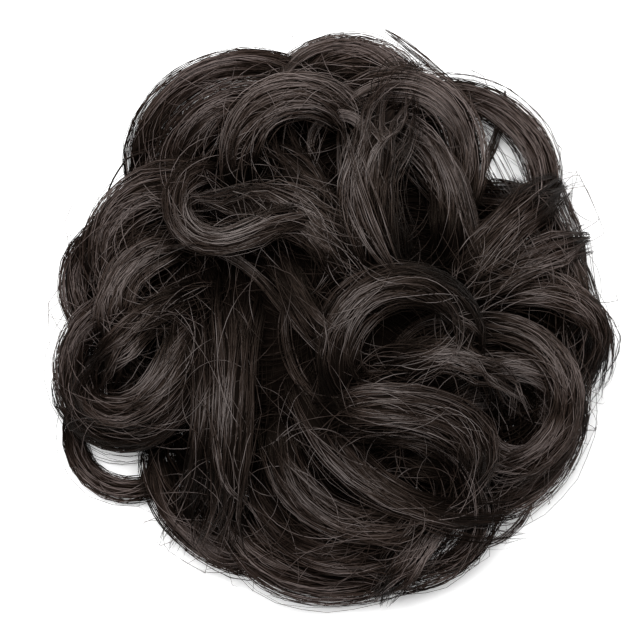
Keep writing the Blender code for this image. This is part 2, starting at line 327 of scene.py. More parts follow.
# Ends that don't run on as the others do: how far their strands run on and dive, at the root and at the tip,
# and the degrees that they turn in the last stretch past the tip
lockEnds = {
    "right_ray_low": (11, 1, 6, 5, 0),
    "right_ray_high": (11, 1, 5, 5, 0),
    "right_edge": (2, 12, 2, 6, 0),
    "bottom_right_tail": (9, 3, 6, 4, -60),
    "upper_fall": (16, 12, 13, 9, 0),
    "inner_right_limb": (14, 8, 11, 9, 40),
    "upper_right_loop": (13, 5, 9, 7, 120),
}

# Locks without hairs beside them: those round a gap that the light shines through, or that end at the rim
bareLocks = ("lower_left_loop", "left_swirl_outer", "upper_right_loop", "right_ray_low", "right_ray_high")


# The points of a line at some of its shares.
def pointsAt(line, fine, shares):
    return np.stack([np.interp(shares, fine, line[:, 0]), np.interp(shares, fine, line[:, 1])], -1)


# The middle line of a lock from above, and its heading. The lock turns at a rate that runs smoothly through
# its three turns, and heading adds that rate up. The line is carried on past both ends at the end rates.
def lockLine(row, fine, pastTip=0.0):
    across, up, heading, length, rootTurn, midTurn, tipTurn = row[:7]
    step = fine[1] - fine[0]
    rate = 3 * np.radians(np.interp(fine, [1 / 6, 1 / 2, 5 / 6], [rootTurn, midTurn, tipTurn]))
    rate += np.where(fine > 1, math.radians(pastTip) / 0.6, 0)
    turned = np.concatenate([[0], np.cumsum((rate[1:] + rate[:-1]) / 2) * step])
    headings = math.radians(heading) + turned - np.interp(0.5, fine, turned)
    between = (headings[1:] + headings[:-1]) / 2
    moves = np.stack([np.cos(between), np.sin(between)], 1) * length * curlUnit * step
    line = np.concatenate([[[0, 0]], np.cumsum(moves, 0)])
    samples = max(2, round(length * curlUnit / mm))
    middle = samples // 2 / samples
    line += np.array([across, up]) * curlUnit - pointsAt(line, fine, middle)
    return line, headings


# The share of its full width that a lock has: tip at its ends, and full along most of it.
def widthShare(shares, tip):
    fromMiddle = np.clip(np.abs(2 * shares - 1), 0, 1)
    return tip + (1 - tip) * np.sqrt(1 - fromMiddle**3)


# Averages each row of values along itself, over reach values each way, with weights that fall off as a cosine.
def easedRows(values, reach):
    weights = 1 + np.cos(np.linspace(-np.pi, np.pi, 2 * reach + 3))[1:-1]
    weights /= weights.sum()
    padded = np.pad(values, ((0, 0), (reach, reach)), "edge")
    return sum(weight * padded[:, k : k + values.shape[1]] for k, weight in enumerate(weights))


# Rises from 0 to 1 and flattens at both.
def smoothStep(values):
    values = np.clip(values, 0, 1)
    return values * values * (3 - 2 * values)


# Where the solids put a lock's middle: each ring of a solid has one corner straight over its middle and one
# straight under it, so those two give the height there.
def ringHeights(name, places):
    corners = np.array([vertex.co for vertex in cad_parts[name].data.vertices])
    corners = np.unique(corners.round(7), axis=0)
    heights = []
    for place in places:
        nearest = np.argsort(np.hypot(*(corners[:, :2] - place).T))[:2]
        heights.append(corners[nearest, 2].mean())
    return np.array(heights)


# How many rings of corners a solid has, by its length and the degrees that it turns.
def ringCountFor(length, turn):
    return max(5, round(length / (6.2 * mm)), round(turn / 24))


# A lock as rows of values along its length, past both ends too. Its ends dive by a smooth step.
def lockForm(name, line, headings, fine, width, length, turn, ends):
    look = lockStrands
    count = ringCountFor(length, turn)
    samples = max(2, round(length / mm))
    rings = np.round(np.linspace(0, samples, count + 1)) / samples
    inside = np.interp(fine, rings, ringHeights(name, pointsAt(line, fine, rings)))
    easing = max(2, round(0.5 / count / (fine[1] - fine[0]))) - 1
    rootRun, tipRun, rootSink, tipSink = [value * mm for value in ends[:4]]
    run = np.where(fine < 0.5, rootRun, tipRun)
    sink = np.where(fine < 0.5, rootSink, tipSink)
    fromEnd = np.minimum(fine, 1 - fine) * length
    begin = look["sinkFrom"] * length
    dive = smoothStep((begin - fromEnd) / (begin + run))
    past = np.clip(-fromEnd / run, 0, 1)
    half = width / 2 * widthShare(fine, look["looseTipWidth"])
    if tipRun < look["shortTip"]:
        half = half * (1 - look["shortTipLoss"] * smoothStep((fine - 0.72) / 0.28))
    return {
        "name": name,
        "stations": int(np.clip(5 + turn / 16 + length / (9 * mm), *look["stations"])),
        "seed": 1.7 * (sum(map(ord, name)) % 97),
        "length": length,
        "width": width,
        "fine": fine,
        "x": line[:, 0],
        "y": line[:, 1],
        "z": easedRows(inside[None], easing)[0] - sink * dive,
        "heading": headings,
        "half": half * (1 - 0.10 * past),
        "thick": np.minimum(half * look["flatness"], look["mostThickness"] / 2) * (1 - 0.5 * past),
        "runs": (rootRun, tipRun),
    }


# One of a lock's rows of values, at some shares of its length.
def along(form, key, shares):
    return np.interp(shares, form["fine"], form[key])


# Places that lie off a line by so much, to its left.
def beside(x, y, heading, off):
    return x - np.sin(heading) * off, y + np.cos(heading) * off


# Places round the upright axis.
def roundAxis(radius, angles, height):
    return np.stack([radius * np.cos(angles), radius * np.sin(angles), height], -1)


# Even steps from root to tip, one row for each strand.
def evenShares(count, stations):
    return np.linspace(0, 1, stations)[None] + np.zeros((count, 1))


# The thickness of strands as a share: full from reach inwards, and least at both ends.
def tapered(shares, length, reach, least):
    fromEnd = np.minimum(shares - shares[:, :1], shares[:, -1:] - shares) * length
    return np.clip(fromEnd / reach, least, 1)


# The same for strands whose shares run from 0 to 1.
def pointed(shares, steepness=6, least=0.3):
    return np.clip(np.minimum(shares, 1 - shares) * steepness, least, 1)


# The lie of strands: where they are round the lock, how far along, and a number of their own.
def ownLie(around, shares, seed=0.0, step=0.37):
    own = seed + step * np.arange(len(shares))[:, None]
    return np.stack([around + 0 * shares, shares, own + 0 * shares], -1)


# Each strand's own share of the light: most are middling, and a few much lighter.
def ownLight(luck, count, middle, spread, most):
    return np.clip(np.exp(luck.normal(middle, spread, count)), 0.1, most)[:, None]


# Turns lines of points into thin tubes: across is level and square to the line, and above is square to both.
def strandTubes(middle, radius):
    ahead = np.gradient(middle, axis=1)
    ahead /= np.linalg.norm(ahead, axis=2, keepdims=True) + 1e-12
    across = np.stack([-ahead[..., 1], ahead[..., 0], 0 * ahead[..., 0]], -1)
    across /= np.linalg.norm(across, axis=2, keepdims=True) + 1e-12
    return tubes(middle, across, np.cross(ahead, across), radius, 3)


# One lot of strands for hairPiece, with a tone and painted light for each of their points.
def strandLot(middle, radius, toneAndPaintedLight, lie, heights):
    points, faces = strandTubes(middle, radius)
    toneAndPaintedLight, lie = np.repeat(toneAndPaintedLight[..., None], 3, -1), np.repeat(lie[..., None, :], 3, -2)
    return {"points": points, "faces": faces, "toneAndPaintedLight": toneAndPaintedLight, "lie": lie, "map": heights}


# Slow random waves, one row for each strand: each is the sum of sines of random phase and pace. Strands with
# the same group share their phases and paces.
def waves(luck, count, shares, paces=(1.0, 2.3, 4.1), groups=None):
    total = np.zeros(shares.shape)
    rows = count if groups is None else groups.max() + 1
    for pace in paces:
        phase = luck.uniform(0, 2 * np.pi, (rows, 1))
        speed = pace * luck.uniform(0.7, 1.3, (rows, 1))
        if groups is not None:
            phase, speed = phase[groups], speed[groups]
        total += np.sin(phase + 2 * np.pi * speed * shares) / pace**0.7
    return total / 1.6


# How a lock is parted into smaller ones: the reach from its middle swells and shrinks round it as a sum of
# cosines, which drift along its length.
class Parting:
    def __init__(self, luck):
        self.parts = [(k, luck.uniform(0, 2 * np.pi), luck.uniform(-1.2, 1.2)) for k in (4, 7, 11, 17)]

    def at(self, angles, shares):
        rises = [np.cos(k * angles + phase + drift * 3 * shares) / k**0.35 for k, phase, drift in self.parts]
        return sum(rises) / 2.2


# The gathered base: a dome of hair with a hollow for the wearer's own bun.
baseLook = {
    "radius": 52.6 * mm,
    "height": 35.6 * mm,
    "bore": 23.8 * mm,
    "hollowHeight": 29.0 * mm,
    "bandHeight": 8.4 * mm,
    "gathers": 27,
    "gatherDepth": 0.016,
    "sides": 162,
    "strands": 420,
    "swirl": 1.5,  # radians that a strand turns round the dome on its way up
    "filling": 620,
    "fillingAt": (193, 332, 340),  # degrees round the axis where a third of the filling lies
    "open": ((43, 24), (214, 17)),  # degrees round the axis of the two open loops, and how wide each is
    "underStrands": 200,
    "footStrands": 190,
}


# Painted shade in the deep hollows between the locks: across, up and radius as shares of curlUnit, and how dark
# each is.
paintedShadeSpots = [
    (0.34, 0.30, 0.12, 0.94), (0.30, 0.41, 0.06, 0.8), (0.41, 0.21, 0.08, 0.92),
    (0.22, 0.50, 0.08, 0.55), (0.57, 0.41, 0.08, 0.75), (-0.40, 0.11, 0.09, 0.86),
    (-0.50, 0.07, 0.06, 0.58), (-0.15, 0.16, 0.09, 0.92), (-0.25, 0.09, 0.07, 0.69),
    (-0.08, 0.07, 0.08, 0.92), (-0.17, 0.09, 0.06, 0.8), (0.14, 0.40, 0.07, 0.5),
    (0.12, 0.18, 0.05, 0.6), (0.60, 0.28, 0.06, 0.45), (0.02, -0.07, 0.06, 0.5),
    (-0.16, -0.12, 0.11, 0.94), (-0.14, -0.22, 0.07, 0.5), (0.00, -0.21, 0.09, 0.94),
    (-0.01, -0.30, 0.07, 0.86), (0.04, -0.38, 0.08, 0.86), (0.13, -0.41, 0.07, 0.75),
    (0.30, -0.33, 0.06, 0.35), (0.14, -0.52, 0.06, 0.4), (-0.23, -0.31, 0.09, 0.65),
    (-0.24, -0.41, 0.07, 0.55), (-0.43, -0.50, 0.09, 0.5), (-0.44, -0.18, 0.07, 0.5),
    (-0.67, -0.30, 0.08, 0.65), (-0.79, -0.06, 0.09, 0.75), (-0.85, -0.13, 0.07, 0.6),
    (-0.44, 0.28, 0.07, 0.6), (-0.22, 0.50, 0.07, 0.5), (0.26, -0.02, 0.10, 0.8),
    (0.21, -0.11, 0.06, 0.69), (0.42, -0.60, 0.09, 0.92), (0.36, -0.53, 0.07, 0.69),
    (0.07, -0.77, 0.08, 0.4), (-0.14, 0.74, 0.08, 0.35), (-0.56, 0.39, 0.06, 0.4),
    (-0.66, -0.06, 0.06, 0.5), (0.83, 0.05, 0.06, 0.5), (0.83, -0.33, 0.10, 0.86),
]

# Painted sheen where the hair catches the light most: places and radii in the same way, and how much lighter it
# is there.
paintedSheenSpots = [
    (0.04, 0.03, 0.12, 0.3), (0.03, 0.15, 0.06, 0.4), (0.15, -0.10, 0.07, 0.8),
    (-0.68, -0.19, 0.08, 3.6), (-0.37, -0.33, 0.08, 0.6), (-0.30, 0.27, 0.09, 0.5),
    (0.47, -0.14, 0.08, 0.3), (0.68, 0.25, 0.09, 0.3), (0.32, 0.74, 0.11, 1.1),
    (0.20, 0.74, 0.09, 1.0), (0.14, 0.86, 0.08, 0.4), (-0.38, 0.86, 0.09, 0.5),
    (-0.34, 0.64, 0.08, 0.5), (-0.44, 0.62, 0.08, 0.6), (-0.14, 0.62, 0.11, 1.0),
    (0.02, 0.56, 0.08, 1.4), (-0.45, 0.41, 0.08, 2.6), (-0.82, 0.05, 0.11, 2.0),
    (-0.78, 0.28, 0.08, 0.4), (-0.55, 0.17, 0.06, 0.4), (-0.33, -0.76, 0.11, 2.0),
    (-0.15, -0.59, 0.10, 1.4), (-0.56, -0.60, 0.06, 0.5), (0.37, -0.78, 0.09, 1.7),
    (0.55, -0.52, 0.09, 0.7), (0.67, -0.36, 0.11, 2.6), (0.71, -0.30, 0.06, 2.0),
    (0.60, -0.24, 0.08, 0.9), (0.69, 0.05, 0.07, 1.2),
]

# The pile's height map, and the painted shade that darkens the hair inside the pile
pileAndShadeLook = {
    "reach": 90,  # millimetres from the middle to the edge of the height map
    "edge": 0.95,  # how much of a lock's width counts for the height
    "fade": 3.6 * mm,  # depth under the top hair at which the light has fallen to a third
    # painted light over the pile's crests and painted shade in its broad hollows
    "evenLight": 1.05,
    "crestHeight": 7.0 * mm,
    "leastLight": 0.15,
    "mostLight": 1.5,
}


# How high the hair stands over each millimetre of the floor. Values are taken between its points.
class Pile:
    def __init__(self, forms):
        self.reach = pileAndShadeLook["reach"]
        across, up = np.meshgrid(*[np.arange(-self.reach, self.reach + 1) * mm] * 2, indexing="ij")
        level = np.clip(1 - (across**2 + up**2) / baseLook["radius"] ** 2, 0, None)
        self.tops = baseLook["height"] * np.sqrt(level)
        sides = np.linspace(-pileAndShadeLook["edge"], pileAndShadeLook["edge"], 15)
        for form in forms:
            shares = np.linspace(-0.05, 1.05, 180)[:, None]
            out = along(form, "half", shares) * sides
            rise = along(form, "thick", shares) * np.sqrt(1 - sides**2)
            x, y, heading = [along(form, key, shares) for key in ("x", "y", "heading")]
            spots = [np.round(place / mm).astype(int) + self.reach for place in beside(x, y, heading, out)]
            np.maximum.at(self.tops, tuple(spots), along(form, "z", shares) + rise)
        self.tops = self.blurred(self.tops, 2)
        self.broad = self.blurred(self.tops, 40)

    def blurred(self, tops, times):
        for _ in range(times):
            tops = sum(np.roll(tops, move, (0, 1)) for move in [(0, 0), (1, 0), (-1, 0), (0, 1), (0, -1)]) / 5
        return tops

    def at(self, placeX, placeY, tops=None):
        x = np.clip(placeX / mm + self.reach, 0, 2 * self.reach - 1.001)
        y = np.clip(placeY / mm + self.reach, 0, 2 * self.reach - 1.001)
        i, j = x.astype(int), y.astype(int)
        u, v = x - i, y - j
        top = self.tops if tops is None else tops
        lower = top[i, j] * (1 - u) + top[i + 1, j] * u
        upper = top[i, j + 1] * (1 - u) + top[i + 1, j + 1] * u
        return lower * (1 - v) + upper * v

    # How much painted light a point gets: painted shade the deeper it lies in the pile, in a broad hollow of it
    # and round the painted shade spots, and painted sheen over crests and round the painted sheen spots.
    def paintedLight(self, points):
        look = pileAndShadeLook
        x, y, z = points[..., 0], points[..., 1], points[..., 2]
        below = np.clip(self.at(x, y) - z, 0, None)
        crest = z - self.at(x, y, self.broad)
        paintedSpots = 1.0
        for across, up, radius, change in [spot[:3] + (-spot[3],) for spot in paintedShadeSpots] + paintedSheenSpots:
            away = np.hypot(x - moved[0] - across * curlUnit, y - moved[1] - up * curlUnit)
            paintedSpots = paintedSpots * (1 + change * np.exp(-((away / (radius * curlUnit)) ** 2)))
        paintedCrestLight = np.clip(look["evenLight"] + crest / look["crestHeight"], look["leastLight"], look["mostLight"])
        return paintedSpots * np.exp(-below / look["fade"]) * paintedCrestLight


# The body of a lock: an oval painted dark as shade between the strands, carried along its line inside them, with
# the partings round it.
def lockCore(form, parting, light):
    look = lockStrands
    rootRun, tipRun = form["runs"]
    length = form["length"]
    shares = np.linspace(-0.25 * rootRun / length, 1 + 0.25 * tipRun / length, look["coreStations"])[None]
    heading = along(form, "heading", shares)
    turn = 2 * np.pi * np.arange(look["coreSides"]) / look["coreSides"]
    swell = parting.at(turn[None, None], shares[..., None])
    reach = look["coreReach"] * (1 + look["relief"] * swell)
    tuck = tapered(shares, length, 9 * mm, 0.02) ** 0.6
    middle = np.stack([along(form, key, shares) for key in "xyz"], -1)
    half, thick = along(form, "half", shares) * tuck, along(form, "thick", shares) * tuck
    across = np.stack([-np.sin(heading), np.cos(heading), 0 * heading], -1) * half[..., None]
    above = np.stack([0 * heading, 0 * heading, thick], -1)
    spoke = across[..., None, :] * np.cos(turn)[:, None] + above[..., None, :] * np.sin(turn)[:, None]
    points = middle[..., None, :] + reach[..., None] * spoke
    # painted shade: the body stays dark as the gaps between strands, a little lighter where the partings push it
    # out
    toneAndPaintedLight = light(shares)[..., None] * (0.10 + 0.08 * np.clip(swell, -1, 1)) * pile.paintedLight(points)
    lie = np.stack([turn / (2 * np.pi) + 0 * reach, shares[..., None] + 0 * reach, form["seed"] + 0 * reach], -1)
    faces = tubeFaces(1, look["coreStations"], look["coreSides"])
    return {"points": points, "faces": faces, "toneAndPaintedLight": toneAndPaintedLight, "lie": lie, "matt": 1.0, "map": (0.0, 0.3)}


# The strands of a lock: each keeps its own angle round the lock's oval while it runs along, drifts a little,
# wanders with its clump, and stands in or out with the partings. The first few stand off the lock.
def lockLines(form, parting, luck, light, count):
    look = lockStrands
    rootRun, tipRun = form["runs"]
    length = form["length"]
    free = np.arange(count) < look["loose"]
    start = -luck.uniform(0.1, 1.2, count) * rootRun / length
    end = 1 + luck.uniform(0.1, 1.2, count) * tipRun / length
    shares = start[:, None] + (end - start)[:, None] * np.linspace(0, 1, form["stations"])
    place = np.arccos(np.clip(luck.uniform(-1.04, 1.04, count), -1, 1))
    kind = luck.random(count)
    anywhere = 2 * np.pi * luck.random(count)
    angle = np.where(kind < 0.62, place, np.where(kind < 0.8, anywhere, -place))
    clump = np.floor((np.cos(angle) + 1) / 2 * look["clumps"] * 0.999) + look["clumps"] * (np.sin(angle) < 0)
    clump = clump.astype(int)
    angles = angle[:, None] + 0.14 * waves(luck, count, shares) + luck.uniform(-0.6, 0.6) * (shares - 0.5)
    swell = parting.at(angles, shares)
    out = 0.78 + 0.26 * luck.random(count) + 0.38 * luck.random(count) ** 6
    out = np.where(free, luck.uniform(1.1, 1.6, count), out)
    reach = out[:, None] * (1 + look["relief"] * swell)
    frizz = look["frizz"] * np.where(free, 2.4, 1.0)[:, None]
    frizzPaces, strayPaces = (1.5, 3.2, 6.0), (0.7, 1.6)
    stray = look["clumpStray"] * form["width"] * (0.35 + np.abs(2 * shares - 1) ** 2)
    sideways = reach * along(form, "half", shares) * np.cos(angles)
    sideways = sideways + frizz * waves(luck, count, shares, frizzPaces)
    sideways += stray * waves(luck, count, shares, strayPaces, clump)
    upwards = reach * along(form, "thick", shares) * np.sin(angles)
    upwards = upwards + 0.5 * frizz * waves(luck, count, shares, frizzPaces)
    upwards += 0.5 * stray * waves(luck, count, shares, strayPaces, clump)
    x, y, z, heading = [along(form, key, shares) for key in ("x", "y", "z", "heading")]
    middle = np.stack([*beside(x, y, heading, sideways), z + upwards], -1)
    radius = look["radius"] * luck.uniform(0.7, 1.25, count)[:, None] * tapered(shares, length, 8 * mm, 0.25)
    radius = radius * np.where(free, 0.6, 1.0)[:, None]
    own = ownLight(luck, count, -0.62, 0.30, 1.2)
    # painted shade and light: top strands and those pushed out by the partings lighter, the others darker
    facing = 0.45 + 0.55 * np.clip(np.sin(angles), 0, 1)
    toneAndPaintedLight = own * light(shares) * facing * (0.75 + 0.42 * np.clip(swell, -1, 1)) * pile.paintedLight(middle)
    lie = ownLie(angles / (2 * np.pi), shares, form["seed"], 0.02)
    return strandLot(middle, radius, toneAndPaintedLight, lie, (0.3, 0.84))


# Hairs that have come out of a lock and lie beside it on the pile, mostly on the side nearer the middle of
# the bun. They follow the lock's way further out than its edges.
def skirtLines(form, luck, light):
    look = lockStrands
    count = look["skirt"]
    start = luck.uniform(-0.25, 0.35, count)
    shares = start[:, None] + luck.uniform(0.45, 0.95, (count, 1)) * np.linspace(0, 1, form["stations"])
    x, y, heading = [along(form, key, shares) for key in ("x", "y", "heading")]
    inward = np.sign(x[:, 6] * np.sin(heading[:, 6]) - y[:, 6] * np.cos(heading[:, 6]))
    side = inward * np.where(luck.random(count) < 0.8, 1, -1)
    out = np.where(side == inward, luck.uniform(0.7, 2.1, count), luck.uniform(0.7, 1.25, count))
    sideways = (side * out)[:, None] * along(form, "half", shares)
    sideways = sideways + 0.7 * mm * waves(luck, count, shares, (1.0, 2.2))
    x, y = beside(x, y, heading, sideways)
    z = easedRows(pile.at(x, y), 3) + luck.uniform(-1.2, 0.5, (count, 1)) * mm
    tuck = tapered(shares, form["length"], 8 * mm, 0)
    z -= (1 - tuck) * 2 * mm
    middle = np.stack([x, y, z], -1)
    # painted light: follows the lock's painted light and the pile's painted shade and sheen
    toneAndPaintedLight = ownLight(luck, count, -0.9, 0.35, 0.9) * (0.35 + 0.5 * light(shares)) * pile.paintedLight(middle)
    lie = ownLie(0.3 * out[:, None], shares, form["seed"])
    return strandLot(middle, look["radius"] * (0.35 + 0.6 * tuck), toneAndPaintedLight, lie, (0.84, 1.0))


# Where along a lock its painted sheen lies, for the locks that show it most
paintedSheenPeaks = {"central_curl": 0.34, "cross_band": 0.32, "swirl_root": 0.75, "swirl_middle": 0.25}
paintedSheenPeaks.update({"right_big_curl": 0.60, "mid_curl": 0.50, "inner_fan": 0.62})


# One lock's piece. The plain curls give their number of strands and a painted shade, and have no hairs beside
# them.
def makeLock(form, seed, material, paintedShade=1.0, strands=None):
    look = lockStrands
    luck = np.random.default_rng(seed)
    parting = Parting(luck)
    peak = paintedSheenPeaks.get(form["name"], luck.uniform(0.38, 0.62))
    spread = luck.uniform(0.20, 0.30)

    # painted light along the lock: painted shade where it goes under others, and a painted sheen over its crown
    def light(shares):  # dark where the lock goes under others, and lightest over its crown
        crown = np.exp(-(((shares - peak) / spread) ** 2))
        return paintedShade * (look["paintedEndLight"] + look["paintedCrownSheen"] * crown)

    count = strands or min(look["most"], max(50, round(form["width"] * look["perWidth"])))
    sparse = looseLocks.get(form["name"], 1.0)
    lots = [lockLines(form, parting, luck, light, round(count * sparse) + look["loose"])]
    if sparse == 1.0:
        lots.append(lockCore(form, parting, light))
    if not strands and form["name"] not in bareLocks:
        lots.append(skirtLines(form, luck, light))
    made = hairPiece(form["name"] + "_hair", lots, material)
    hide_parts(form["name"])
    return made


# The solids were centred together over the band: this is how far they moved.
def centring(fine):
    edges = []
    shares = np.linspace(0, 1, 80)
    for row in locks.values():
        line, headings = lockLine(row, fine)
        line = pointsAt(line, fine, shares)
        heading = np.interp(shares, fine, headings)
        half = row[-1] * curlUnit / 2 * widthShare(shares, lockStrands["tipWidth"])
        side = np.stack([-np.sin(heading), np.cos(heading)], 1) * half[:, None]
        edges += [line + side, line - side]
    edges = np.concatenate(edges)
    return -(edges.min(0) + edges.max(0)) / 2


hair = hairFinish("curled_hair", 0.09)
innerHair = hairFinish("inner_hair", 0.03)
fine = np.linspace(-0.6, 1.6, 1101)
moved = centring(fine)
print("locks were centred by", (moved / mm).round(2), "mm")

forms = []
usualRun, usualSink = lockStrands["run"] / mm, lockStrands["sink"] / mm
usual = (usualRun, usualRun, usualSink, usualSink, 0)
for name, row in locks.items():
    ends = lockEnds.get(name, usual)
    line, headings = lockLine(row, fine, ends[4])
    within = headings[(fine >= 0) & (fine <= 1)]
    turn = np.degrees(np.abs(np.diff(within)).sum())
    forms.append(lockForm(name, line + moved, headings, fine, row[7] * curlUnit, row[3] * curlUnit, turn, ends))
pile = Pile(forms)
triangles = sum(makeLock(form, 100 + number, hair)["triangles"] for number, form in enumerate(forms))
print("curled locks:", len(forms), "pieces,", triangles, "triangles")


# The plain curls round the foot of the base, by the same formula as the solids: an arc that stands out from
# the foot, which its two ends meet. pitch and start are degrees, and ends are as in lockEnds.
underCurls = {
    "count": 8,
    "pitch": 40.0,
    "start": 84.0,
    "bulge": 13.0 * mm,
    "curve": 19.0 * mm,
    "width": 8.5 * mm,
    "baseRadius": 53.0 * mm,
    "ends": (4, 4, 0, 0),
    # painted shade: the plain curls lie under the others and are painted darker
    "paintedShade": 0.45,
    "strands": 40,
}


def underLine(number, fine):
    look = underCurls
    centre = look["baseRadius"] + look["bulge"] - look["width"] / 2 - look["curve"]
    endRadius = look["baseRadius"] + look["width"] / 2 * lockStrands["tipWidth"]
    halfSweep = math.acos((endRadius**2 - centre**2 - look["curve"] ** 2) / (2 * centre * look["curve"]))
    around = math.radians(look["start"] + look["pitch"] * number)
    angles = around + halfSweep * (2 * fine - 1)
    line = centre * np.array([math.cos(around), math.sin(around)])
    line = line + look["curve"] * np.stack([np.cos(angles), np.sin(angles)], 1)
    return line, angles + math.pi / 2, 2 * halfSweep * look["curve"], math.degrees(2 * halfSweep)


for number in range(underCurls["count"]):
    line, headings, length, turn = underLine(number, fine)
    name = f"under_curl_{number + 1}"
    form = lockForm(name, line, headings, fine, underCurls["width"], length, turn, underCurls["ends"])
    made = makeLock(form, 300 + number, hair, underCurls["paintedShade"], underCurls["strands"])
    triangles += made["triangles"]
print("with the plain curls:", triangles, "triangles")


# The dome's body: a profile turned round the upright axis, down the hollow, out along the foot and up the dome.
# The gathers push its radius in and out as a cosine round the axis.
def baseCore():
    look = baseLook
    bore, band = look["bore"], look["bandHeight"]
    lean = np.linspace(0.02, np.pi / 2, 14)[::-1]
    hollow = np.stack([bore * np.cos(lean) + 0.2 * mm, band + (look["hollowHeight"] - band) * np.sin(lean)], 1)
    foot = [[bore, band], [bore, 0.7 * mm], [bore + 6 * mm, 0.6 * mm], [look["radius"] - 4 * mm, 0.6 * mm]]
    rise = np.linspace(0.03, np.pi / 2, 26)
    dome = np.stack([look["radius"] * np.cos(rise) + 0.2 * mm, look["height"] * np.sin(rise)], 1)
    profile = np.concatenate([hollow, foot, dome])
    turn = 2 * np.pi * np.arange(look["sides"]) / look["sides"]
    outside = np.concatenate([np.zeros(len(hollow) + 3), np.full(len(dome) + 1, 1.0)])
    swell = np.cos(look["gathers"] * (turn[None] + 0.5 * np.sin(profile[:, 1:] / look["height"] * 1.5)))
    radius = profile[:, :1] * (1 + look["gatherDepth"] * outside[:, None] * (swell - 1))
    points = roundAxis(radius, turn, profile[:, 1:] + 0 * radius)[None]
    share = np.linspace(0, 1, len(profile))[:, None] + 0 * radius
    lie = np.stack([turn / (2 * np.pi) * 6 + 0 * radius, share, 0 * radius], -1)[None]
    # painted shade: the dome's body is dark, and darker in the folds between the gathers
    toneAndPaintedLight = (0.03 + 0.02 * swell + 0 * radius)[None]
    faces = tubeFaces(1, len(profile), look["sides"])
    return {"points": points, "faces": faces, "toneAndPaintedLight": toneAndPaintedLight, "lie": lie, "matt": 1.0, "map": (0.0, 0.3)}


# Strands over the dome: each climbs from the foot towards the top, and turns round the axis as it climbs.
def domeStrands(luck):
    look = baseLook
    count = look["strands"]
    shares = evenShares(count, 18)
    low = luck.uniform(0.02, 0.5, (count, 1))
    high = luck.uniform(0.9, 1.5, (count, 1))
    lean = low + (high - low) * shares
    around = luck.uniform(0, 2 * np.pi, (count, 1)) + look["swirl"] * luck.uniform(0.5, 1.2, (count, 1)) * shares
    around = around + 0.05 * waves(luck, count, shares)
    off = luck.uniform(0.1, 1.6, (count, 1)) * mm + 0.5 * mm * waves(luck, count, shares)
    middle = roundAxis((look["radius"] + off) * np.cos(lean), around, (look["height"] + off) * np.sin(lean))
    radius = 0.17 * mm * luck.uniform(0.8, 1.2, (count, 1)) * pointed(shares)
    # painted shade: the dome's hair lies under the locks and is painted dark
    toneAndPaintedLight = luck.uniform(0.02, 0.16, (count, 1)) + 0 * shares
    return strandLot(middle, radius, toneAndPaintedLight, ownLie(around, shares), (0.3, 0.5))


# Strands across the underside, from the foot in to the elastic band, where they are gathered.
def underStrands(luck):
    look = baseLook
    count = look["underStrands"]
    shares = evenShares(count, 10)
    out = luck.uniform(0.80, 0.97, (count, 1)) * look["radius"]
    radius = out + (look["bore"] + luck.uniform(0.3, 2.0, (count, 1)) * mm - out) * shares
    around = 2 * np.pi * (np.arange(count)[:, None] + luck.uniform(-0.4, 0.4, (count, 1))) / count
    around = around + 0.5 * shares**1.5
    height = 0.25 * mm + 0.5 * mm * luck.random((count, 1)) + 0 * shares
    toneAndPaintedLight = luck.uniform(0.15, 0.4, (count, 1)) + 0 * shares
    middle = roundAxis(radius, around, height)
    return strandLot(middle, 0.2 * mm + 0 * shares, toneAndPaintedLight, ownLie(around, shares), (0.8, 1.0))


# Loose inner hair between the foot of the base and the outer curls, painted dark as the shade under them: short
# arcs that lie round the base, and leave open the two loops that the light shines through.
def fillingStrands(luck):
    look = baseLook
    count = look["filling"]
    around = luck.uniform(0, 2 * np.pi, count)
    third = count // 3
    around[:third] = np.radians(luck.choice(look["fillingAt"], third) + luck.normal(0, 7, third))
    away = 1.0
    for at, width in look["open"]:
        turn = np.abs((around - math.radians(at) + np.pi) % (2 * np.pi) - np.pi)
        away = np.minimum(away, turn / math.radians(width))
    shares = evenShares(count, 14)
    curve = luck.uniform(7, 14, (count, 1)) * mm
    hub = (look["radius"] - 6 * mm + 11 * mm * luck.random(count) * away)[:, None]
    sweep = np.pi * luck.choice([-1, 1], (count, 1)) * (luck.uniform(0.7, 1.2, (count, 1)) * (shares - 0.5))
    around = around[:, None]
    angles = around + sweep
    reach = np.where(away[:, None] < 0.5, 0.3, 1.0) * curve
    x = hub * np.cos(around) + reach * np.cos(angles) + 0.5 * mm * waves(luck, count, shares)
    y = hub * np.sin(around) + reach * np.sin(angles) + 0.5 * mm * waves(luck, count, shares)
    z = luck.uniform(1.0, 12.0, (count, 1)) * mm + 1.0 * mm * waves(luck, count, shares, (0.6,))
    # painted shade: the filling is dark
    toneAndPaintedLight = luck.uniform(0.02, 0.14, (count, 1)) + 0 * shares
    middle = np.stack([x, y, z], -1)
    return strandLot(middle, 0.32 * mm * pointed(shares), toneAndPaintedLight, ownLie(0, shares), (0.6, 0.8))


# Hair that lies close round the foot of the base: level arcs round the upright axis.
def footStrands(luck):
    look = baseLook
    count = look["footStrands"]
    shares = evenShares(count, 14)
    angles = luck.uniform(0, 2 * np.pi, (count, 1)) + luck.uniform(0.6, 1.3, (count, 1)) * shares
    radius = look["radius"] + luck.uniform(-0.5, 4.2, (count, 1)) * mm + 0.4 * mm * waves(luck, count, shares)
    height = luck.uniform(0.8, 8.0, (count, 1)) * mm + 0.6 * mm * waves(luck, count, shares)
    # painted shade: the hair round the foot lies under the curls and is painted dark
    toneAndPaintedLight = luck.uniform(0.03, 0.16, (count, 1)) + 0 * shares
    middle = roundAxis(radius, angles, height)
    return strandLot(middle, 0.40 * mm * pointed(shares), toneAndPaintedLight, ownLie(0, shares), (0.5, 0.6))


